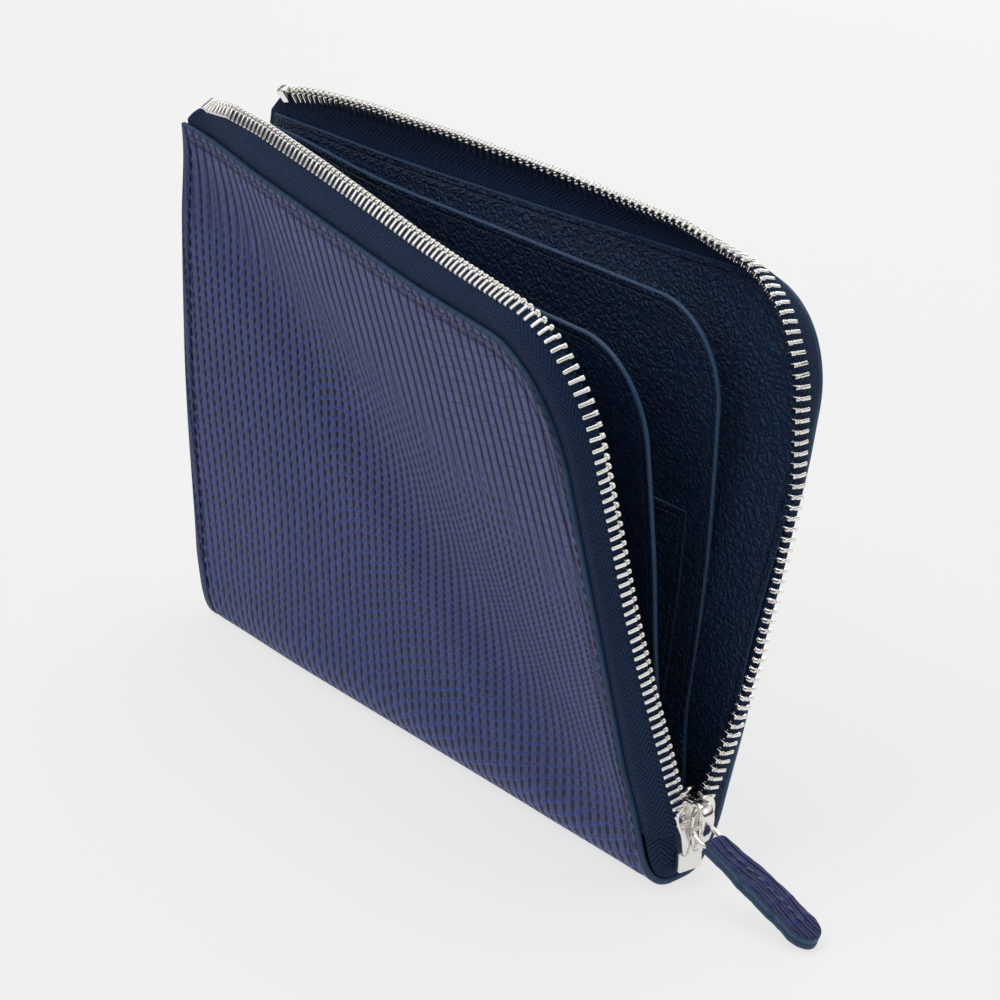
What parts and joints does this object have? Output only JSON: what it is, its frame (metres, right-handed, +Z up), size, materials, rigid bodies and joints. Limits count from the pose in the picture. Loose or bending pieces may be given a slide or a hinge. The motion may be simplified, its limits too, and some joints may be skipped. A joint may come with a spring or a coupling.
{
  "type": "zip passport holder",
  "caption": "Leather holder for passports and cards: a folded cover with an L-shaped metal zip, inner dividers and a slider with a leather pull tab, standing open on its fold.",
  "frame": {"origin": "Centre of the flat underside of the fold, on the surface the holder stands on.", "axes": "+X along the fold toward the slider end, -Y the front cover, +Y the back cover, +Z up."},
  "size_m": [0.1872, 0.0609, 0.1131],
  "materials": {
    "outer_spine": "embossed reptile-grain leather, satin, painted cut edges",
    "lining_spine": "pebble-grain lining leather",
    "outer_front_lower": "embossed reptile-grain leather, satin, painted cut edges",
    "lining_front_lower": "pebble-grain lining leather",
    "thread_front_side": "waxed sewing thread",
    "gusset_front": "thin folded lining leather",
    "zip_tape_foot": "woven herringbone tape",
    "zip_teeth_foot": "polished nickel plating",
    "bottom_stop": "polished nickel plating",
    "outer_front_flap": "embossed reptile-grain leather, satin, painted cut edges",
    "lining_front_flap": "pebble-grain lining leather",
    "thread_front_flap": "waxed sewing thread",
    "zip_tape_front": "woven herringbone tape",
    "zip_teeth_front": "polished nickel plating",
    "top_stop_front": "polished nickel plating",
    "outer_back_lower": "embossed reptile-grain leather, satin, painted cut edges",
    "lining_back_lower": "pebble-grain lining leather",
    "thread_back_side": "waxed sewing thread",
    "gusset_back": "thin folded lining leather",
    "outer_back_flap": "embossed reptile-grain leather, satin, painted cut edges",
    "lining_back_flap": "pebble-grain lining leather",
    "thread_back_flap": "waxed sewing thread",
    "zip_tape_back": "woven herringbone tape",
    "zip_teeth_back": "polished nickel plating",
    "top_stop_back": "polished nickel plating",
    "divider_rear": "pebble-grain leather with painted edge",
    "slip_pocket_rear": "pebble-grain leather with painted edge",
    "divider_front": "pebble-grain leather with painted edge",
    "slip_pocket_front": "pebble-grain leather with painted edge",
    "slider_body": "polished nickel plating",
    "slider_bridge": "polished nickel plating",
    "puller_link": "polished nickel plating",
    "pull_tab_top": "embossed leather with painted edge",
    "pull_tab_back": "embossed leather with painted edge",
    "thread_tab": "waxed sewing thread"
  },
  "bodies": {
    "fold_and_front": {"outer_spine": "outer_spine", "lining_spine": "lining_spine", "outer_front_lower": "outer_front_lower", "lining_front_lower": "lining_front_lower", "thread_front_side": "thread_front_side", "gusset_front": "gusset_front", "zip_tape_foot": "zip_tape_foot", "zip_teeth_foot": "zip_teeth_foot", "bottom_stop": "bottom_stop"},
    "front_flap": {"outer_front_flap": "outer_front_flap", "lining_front_flap": "lining_front_flap", "thread_front_flap": "thread_front_flap", "zip_tape_front": "zip_tape_front", "zip_teeth_front": "zip_teeth_front", "top_stop_front": "top_stop_front"},
    "back_cover": {"outer_back_lower": "outer_back_lower", "lining_back_lower": "lining_back_lower", "thread_back_side": "thread_back_side", "gusset_back": "gusset_back"},
    "back_flap": {"outer_back_flap": "outer_back_flap", "lining_back_flap": "lining_back_flap", "thread_back_flap": "thread_back_flap", "zip_tape_back": "zip_tape_back", "zip_teeth_back": "zip_teeth_back", "top_stop_back": "top_stop_back"},
    "rear_divider": {"divider_rear": "divider_rear", "slip_pocket_rear": "slip_pocket_rear"},
    "front_divider": {"divider_front": "divider_front", "slip_pocket_front": "slip_pocket_front"},
    "slider": {"slider_body": "slider_body", "slider_bridge": "slider_bridge"},
    "link": {"puller_link": "puller_link"},
    "pull_tab": {"pull_tab_top": "pull_tab_top", "pull_tab_back": "pull_tab_back", "thread_tab": "thread_tab"}
  },
  "joints": [
    {"name": "back_cover_swing", "type": "hinge", "parent": "fold_and_front", "child": "back_cover", "pos_m": [0, 0.0067, 0.00627], "axis": [0.9998, 0.0219, -0.0008], "range_deg": [0, 7.2]},
    {"name": "front_flap_bend", "type": "hinge", "parent": "fold_and_front", "child": "front_flap", "pos_m": [0, -0.00045, 0.05655], "axis": [0.8403, -0.0189, -0.5418], "range_deg": [-17.8, 0]},
    {"name": "back_flap_bend", "type": "hinge", "parent": "back_cover", "child": "back_flap", "pos_m": [-0.00014, 0.01025, 0.05634], "axis": [0.8418, -0.0864, -0.5329], "range_deg": [0, 7]},
    {"name": "divider_rear_swing", "type": "hinge", "parent": "fold_and_front", "child": "rear_divider", "pos_m": [-0.074, 0.0008, 0.00797], "axis": [1, 0.0088, -0.0003], "range_deg": [0, 6.5]},
    {"name": "divider_front_swing", "type": "hinge", "parent": "fold_and_front", "child": "front_divider", "pos_m": [-0.074, -0.00075, 0.00653], "axis": [0, 0.0349, 0.9994], "range_deg": [0, 1.25]},
    {"name": "zip_run", "type": "slide", "parent": "fold_and_front", "child": "slider", "axis": [0, 0.0349, 0.9994], "range_m": [0, 0.062]},
    {"name": "link_swing", "type": "hinge", "parent": "slider", "child": "link", "pos_m": [0.0815, 0.00022, 0.0128], "axis": [0, 0.9994, -0.0349], "range_deg": [-40, 0]},
    {"name": "tab_swing", "type": "hinge", "parent": "link", "child": "pull_tab", "pos_m": [0.08614, 0.00015, 0.01092], "axis": [-0.2079, 0.9781, 0], "range_deg": [-60, 0]}
  ],
  "couplings": [
    {"joint": "front_flap_bend", "follows": "back_cover_swing", "ratio": -2.4722},
    {"joint": "back_flap_bend", "follows": "back_cover_swing", "ratio": 0.9722},
    {"joint": "divider_rear_swing", "follows": "back_cover_swing", "ratio": 0.9027},
    {"joint": "divider_front_swing", "follows": "back_cover_swing", "ratio": 0.1736},
    {"joint": "zip_run", "follows": "back_cover_swing", "m_per_rad": 0.4933}
  ]
}
